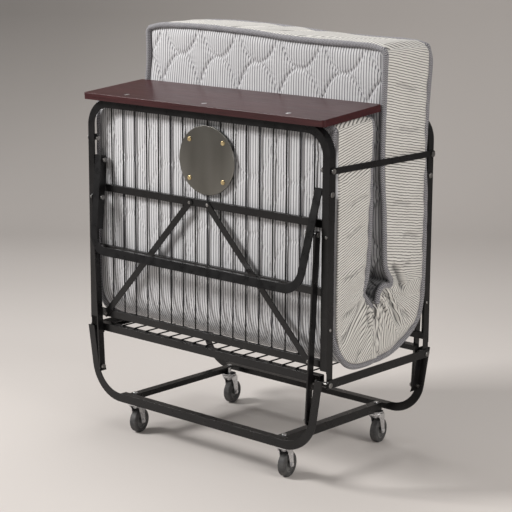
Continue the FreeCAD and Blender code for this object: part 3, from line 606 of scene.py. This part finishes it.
def fold_pad(name, out_pts, in_pts, sign, knots, top_wave, corner):
    """A stuffed slab swept from its top end to the fold.  sign is +1 where the outer face
    looks to +Y.  knots pair distances along the outer face with the inner one."""
    outer, thick, s_out = sweep_lines(out_pts, in_pts, knots)
    thick_len = np.linalg.norm(thick, axis=1)
    v, faces, mats = slab(outer, thick, s_out, sign)
    co = v[:, :3].copy()
    flat = co.copy()
    s, x, t = v[:, 3], v[:, 4], v[:, 5]
    ii, jj, kk = v[:, 6].astype(int), v[:, 7].astype(int), v[:, 8].astype(int)
    deep = thick_len[ii]

    # where each point lies: on a broad face, on a side band, or on the top end
    ex = (1 - np.abs(x)) * SIDE_X                   # distance from the side tapes
    et = np.minimum(t, 1 - t) * deep                # distance from the edges of a side band
    face = (kk == 0) | (kk == THROUGH)
    side = (jj == 0) | (jj == ACROSS)
    cap = (ii == 0) & ~face & ~side

    pressed = (sign < 0) & (t < 0.5)                # held flat by the wires of the front deck
    dip = quilting(s, x, t, np.minimum(ex, s), pressed)
    shift = np.where(face, -dip, 0.0)
    lift, crease, hollow = band_bulge(co, s, x, t, deep, s_out[-1], sign)
    band = np.where(side & ~face, lift, 0.0)

    # painted shade: the cloth is darkened in the hollow, in the creases and inside the fold near its
    # sides
    painted_shade = hollow / HOLLOW_DEPTH * 0.75 - np.minimum(crease, 0) / 0.005 * 0.42
    painted_shade = np.where(side, np.clip(painted_shade, 0, 0.85), 0.0)
    pocket = (kk == THROUGH) & (co[:, 2] < 0.62)
    near_side = smooth((np.abs(x) * SIDE_X - 0.385) / 0.05)
    painted_shade = np.where(pocket, 0.78 * near_side * smooth((0.625 - co[:, 2]) / 0.06), painted_shade)

    normal = thick[ii] / deep[:, None]
    n_out = np.where((t < 0.5)[:, None], -normal, normal)
    co[:, 1:] += n_out * shift[:, None]
    co[:, 0] += np.sign(x) * band
    raise_cap(co, cap, t, et, ex)
    top_z = (out_pts[0][1] * (1 - t) + in_pts[0][1] * t) / 1000
    round_top(co, top_z, top_wave, corner)
    co = lean(co, sign > 0)

    run, through = s, t * deep
    side_run, side_through = fold_field(flat[:, 1], flat[:, 2], run, through)
    run = np.where(side, side_run, run)
    through = np.where(side, side_through, through)
    cloth = np.stack([run, x * SIDE_X + 0.5, through], 1)
    obj = cloth_mesh(name, co.tolist(), faces, cloth)
    for f, m in zip(obj.data.polygons, mats):
        f.material_index = m
    # painted shade, stored on the mesh for the ticking material
    dark = obj.data.attributes.new("painted_shade", "FLOAT", "POINT")
    dark.data.foreach_set("value", painted_shade.astype(np.float32))
    return obj


def cloth_mesh(name, verts, faces, cloth):
    """Smooth mesh object that carries the `cloth` attribute."""
    mesh = bpy.data.meshes.new(name)
    mesh.from_pydata(verts, [], faces)
    for f in mesh.polygons:
        f.use_smooth = True
    attr = mesh.attributes.new("cloth", "FLOAT_VECTOR", "POINT")
    attr.data.foreach_set("vector", np.array(cloth, np.float32).ravel())
    obj = bpy.data.objects.new(name, mesh)
    scene.collection.objects.link(obj)
    return obj


def tape(name, path, rear):
    """Rolled binding along a 3-D path given in mm, a little uneven along its length."""
    pts, at = curve(path, 0.005)
    pts = lean(pts, rear)
    ring = 20
    tang = np.gradient(pts, axis=0)
    tang /= np.linalg.norm(tang, axis=1)[:, None]
    ref = np.array([1.0, 0.0, 0.0])
    verts, faces, cloth = [], [], []
    side = None
    for i, p in enumerate(pts):
        t = tang[i]
        if side is None:
            side = ref - t * ref.dot(t)
            if np.linalg.norm(side) < 0.1:
                side = np.array([0.0, 1.0, 0.0])
        side = side - t * side.dot(t)
        side /= np.linalg.norm(side)
        other = np.cross(t, side)
        for k in range(ring):
            a = 2 * math.pi * k / ring
            r = TAPE_R * (1 + 0.05 * math.sin(at[i] * 61 + 2 * math.sin(at[i] * 23)))
            verts.append(p + side * r * math.cos(a) + other * r * math.sin(a))
            cloth.append((at[i], a * TAPE_R, 0.0))
    n = len(pts)
    for i in range(n - 1):
        for k in range(ring):
            k2 = (k + 1) % ring
            faces.append((i * ring + k, i * ring + k2, (i + 1) * ring + k2, (i + 1) * ring + k))
    faces.append(tuple(range(ring))[::-1])
    faces.append(tuple((n - 1) * ring + k for k in range(ring)))
    return cloth_mesh(name, [tuple(v) for v in verts], faces, cloth)


def tape_path(profile, top_wave, tuck, drop, front):
    """Path of one face's binding: up one side, over the top, down the other side.
    profile is (y, z) from the fold up to the top."""
    half = SIDE_X * 1000
    top = profile[-1][1]

    def wave(x):
        return float(np.interp(x, [p[0] for p in top_wave], [p[1] for p in top_wave]))

    up = []
    for y, z in profile[:-1]:
        pinch = STRAP_PINCH * math.exp(-((z - STRAP_Z * 1000) / 26.0) ** 4)
        if front and z > STRAP_Z * 1000:
            pinch = STRAP_PINCH
        up.append((half - pinch, y, z))
    y_top = profile[-1][0]
    right = [(x - tuck * float(smooth((z - 400) / 60)), y, z) for x, y, z in up]
    if front:
        half -= STRAP_PINCH
    w = wave(half)
    right += [(half - tuck * 0.5, y_top, top - drop + w),
              (half - 3, y_top, top - drop * 0.55 + w),
              (half - drop * 0.3, y_top, top - drop * 0.24 + w),
              (half - drop * 0.75, y_top, top - 3 + w)]
    over = [(x, y_top, top + wave(x)) for x in (430, 380, 250, 120, 0, -120, -250, -380, -430)]
    w = wave(-half)
    left = [(-half + drop * 0.75, y_top, top - 3 + w),
            (-half + drop * 0.3, y_top, top - drop * 0.24 + w),
            (-half + 3, y_top, top - drop * 0.55 + w),
            (-half, y_top, top - drop + w)]
    left += [(-x, y, z) for x, y, z in up[::-1]]
    return right + over + left


def make_mattress():
    face = ticking("ticking_face", "face")
    side_f = ticking("ticking_side_front", "side_front")
    side_r = ticking("ticking_side_rear", "side_rear")
    cap = ticking("ticking_end", "cap")
    bind = tape_cloth()
    front = fold_pad("mattress_front_pad", FRONT_OUT, FRONT_IN, -1, FRONT_KNOTS, FRONT_WAVE, 0.016)
    rear = fold_pad("mattress_rear_pad", REAR_OUT, REAR_IN, 1, REAR_KNOTS, REAR_WAVE, 0.024)
    for obj, side, body in ((front, side_f, "front_deck"), (rear, side_r, "rear_deck")):
        for m in (face, side, cap):
            obj.data.materials.append(m)
        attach(obj, body)
    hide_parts("mattress_front")
    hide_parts("mattress_rear")
    tapes = (
        ("mattress_front_tape_outer", "front_deck", FRONT_TAPE_OUT, TAPE_TUCK),
        ("mattress_front_tape_inner", "front_deck", FRONT_TAPE_IN, 0.0),
        ("mattress_rear_tape_outer", "rear_deck", REAR_TAPE_OUT, 0.0),
        ("mattress_rear_tape_inner", "rear_deck", REAR_TAPE_IN, 0.0),
    )
    for name, body, profile, tuck in tapes:
        front = body == "front_deck"
        wave, drop = (FRONT_WAVE, FRONT_DROP) if front else (REAR_WAVE, REAR_DROP)
        obj = tape(name, tape_path(profile, wave, tuck, drop, front), not front)
        obj.data.materials.append(bind)
        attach(obj, body)
    center_pad(face, side_r)


def center_pad(face, side):
    """Core of the mattress over the middle section, inside the bend of the folded halves."""
    ring = [(-126, 363), (-95, 358), (-30, 359), (5, 360), (38, 366), (74, 378), (108, 393),
            (138, 412), (166, 434), (184, 464), (193, 494), (150, 503), (60, 505), (-60, 505),
            (-160, 502), (-197, 496), (-198, 464), (-188, 430), (-174, 402), (-152, 377)]
    half, cols = 0.469, 60
    verts, cloth, faces = [], [], []
    n = len(ring)
    for j in range(cols + 1):
        x = -half + 2 * half * j / cols
        for y, z in ring:
            verts.append((x, y / 1000.0, z / 1000.0))
            cloth.append((y / 1000.0 + 0.5, x + 0.5, z / 1000.0))
    for j in range(cols):
        for i in range(n):
            k = (i + 1) % n
            faces.append((j * n + i, (j + 1) * n + i, (j + 1) * n + k, j * n + k))
    faces.append(tuple(range(n)))
    faces.append(tuple(cols * n + i for i in range(n))[::-1])
    obj = cloth_mesh("mattress_center_pad", verts, faces, cloth)
    obj.data.materials.append(face)
    obj.data.materials.append(side)
    for f in obj.data.polygons:
        end = len(f.vertices) > 4
        f.material_index = 1 if end else 0
        f.use_smooth = not end
    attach(obj, "base")
    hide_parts("mattress_center")


def make_rivets(mat):
    """Small domed rivets on the deck uprights."""
    decks = (("deck_side_rivets_front", "front_deck", -1), ("deck_side_rivets_rear", "rear_deck", 1))
    for name, body, sy in decks:
        bm = bmesh.new()
        spots = [((sx * 0.4825, sy * 0.226, 0.474), Vector((sx, 0, 0))) for sx in (1, -1)]
        spots += [((sx * 0.473, sy * 0.239, 0.737), Vector((0, sy, 0))) for sx in (1, -1)]
        for at, way in spots:
            turn = way.to_track_quat("Z", "Y").to_matrix().to_4x4()
            turn.translation = Vector(at)
            made = bmesh.ops.create_uvsphere(bm, u_segments=20, v_segments=12, radius=0.0046)
            for v in made["verts"]:
                v.co.z *= 0.5
                v.co = turn @ v.co
        mesh = bpy.data.meshes.new(name)
        bm.to_mesh(mesh)
        bm.free()
        for f in mesh.polygons:
            f.use_smooth = True
        mesh.materials.append(mat)
        obj = bpy.data.objects.new(name, mesh)
        scene.collection.objects.link(obj)
        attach(obj, body)


# ---- studio --------------------------------------------------------------------
def studio_paper():
    """Warm white paper with painted shade: it darkens up the wall, most of all on the left."""
    s = Shader("studio_paper")
    vec = s.coords()
    x, y, z = s.split(vec)
    side = s.math("ADD", s.math("MULTIPLY", x, math.cos(CAM_AZ)),
                  s.math("MULTIPLY", y, math.sin(CAM_AZ)))
    # painted shade: the wall is darkened towards its top, more on the left, in place of the falloff of
    # the light
    top_shade = s.remap(side, -1.4, 1.4, 0.50, 0.86)
    low_to_high = s.remap(z, 0.0, 1.0, 0.0, 1.0)
    wall = s.math("ADD", 1.0, s.math("MULTIPLY", low_to_high, s.math("SUBTRACT", top_shade, 1.0)))
    # painted shade: floor and wall are also darker on the left
    tone = s.math("MULTIPLY", wall, s.remap(side, -1.1, 0.5, 0.80, 0.95))
    paper = s.ramp(s.noise(vec, 0.6, 2.0), [(0.3, (0.67, 0.630, 0.600)), (0.7, (0.70, 0.660, 0.630))])
    grey = s.node("ShaderNodeCombineXYZ")
    for i in range(3):
        s.link(tone, grey.inputs[i])
    s.put("Base Color", s.mix(1.0, paper, grey.outputs[0], "MULTIPLY"))
    s.put("Roughness", 0.9)
    s.put("Specular IOR Level", 0.2)
    return s.mat


# backdrop: half width, front edge, start of the curve, its radius and the top of the wall
PAPER_HALF = 8.0
PAPER_NEAR = -7.0
PAPER_BEND = 3.2
PAPER_RADIUS = 1.6
PAPER_TOP = 7.0


def make_backdrop():
    """Floor that curves up into a wall, facing the camera."""
    away = Vector((-math.sin(CAM_AZ), math.cos(CAM_AZ), 0))
    across = Vector((math.cos(CAM_AZ), math.sin(CAM_AZ), 0))
    line = [(PAPER_NEAR, 0.0)]
    for a in np.linspace(0, math.pi / 2, 25):
        line.append((PAPER_BEND + PAPER_RADIUS * math.sin(a), PAPER_RADIUS - PAPER_RADIUS * math.cos(a)))
    line.append((PAPER_BEND + PAPER_RADIUS, PAPER_TOP))
    verts, faces = [], []
    for d, z in line:
        for w in (-PAPER_HALF, PAPER_HALF):
            p = away * d + across * w
            verts.append((p.x, p.y, z))
    for i in range(len(line) - 1):
        a = 2 * i
        faces.append((a, a + 1, a + 3, a + 2))
    mesh = bpy.data.meshes.new("backdrop")
    mesh.from_pydata(verts, [], faces)
    for f in mesh.polygons:
        f.use_smooth = True
    mesh.materials.append(studio_paper())
    floor = bpy.data.objects.new("backdrop", mesh)
    scene.collection.objects.link(floor)


def area(name, at, aim, size, power, color):
    """Square light panel."""
    data = bpy.data.lights.new(name, "AREA")
    data.shape = "RECTANGLE"
    data.size = size
    data.size_y = size
    data.energy = power
    data.color = color
    obj = bpy.data.objects.new(name, data)
    obj.location = at
    obj.rotation_euler = (Vector(aim) - Vector(at)).to_track_quat("-Z", "Y").to_euler()
    scene.collection.objects.link(obj)


def make_studio():
    make_backdrop()
    area("key", (-2.6, -2.6, 3.0), (0, 0, 0.5), 1.3, 200, (1.0, 0.985, 0.97))
    area("side_fill", (3.8, -0.6, 2.2), (0, 0, 0.7), 2.2, 85, (1.0, 0.97, 0.94))
    area("top", (-0.6, 0.6, 3.6), (0, 0, 0.5), 1.6, 38, (1.0, 0.99, 0.98))
    scene.view_settings.view_transform = "Standard"
    world = bpy.data.worlds.new("studio")
    world.use_nodes = True
    bg = world.node_tree.nodes["Background"]
    bg.inputs[0].default_value = (0.80, 0.79, 0.78, 1)
    bg.inputs[1].default_value = 0.24
    scene.world = world


# ---- finishes of the metal parts ------------------------------------------------
def dress_frame():
    mats = {
        "black_enamel": enamel(),
        "bolt_steel": metal("bolt_steel", (0.18, 0.175, 0.17), (0.36, 0.35, 0.34), 0.30, 60.0, 0.1),
        "zinc": metal("zinc", (0.58, 0.58, 0.59), (0.80, 0.80, 0.81), 0.22, 45.0, 0.12, 0.0008),
        "rubber": rubber(),
        "hub": hub_plastic(),
        "laminate": laminate(),
        "plaque_metal": plaque_metal(),
        "brass": metal("brass", (0.62, 0.47, 0.24), (0.80, 0.64, 0.36), 0.24, 70.0, 0.1),
    }
    for part in frame["record"]["subparts"]:
        mat = mats.get(part["material_slot"])
        if mat is None:
            continue
        mesh = nodes[part["node"]].data
        mesh.materials.clear()
        mesh.materials.append(mat)
    make_rivets(mats["bolt_steel"])


make_camera()
make_studio()
dress_frame()
make_mattress()
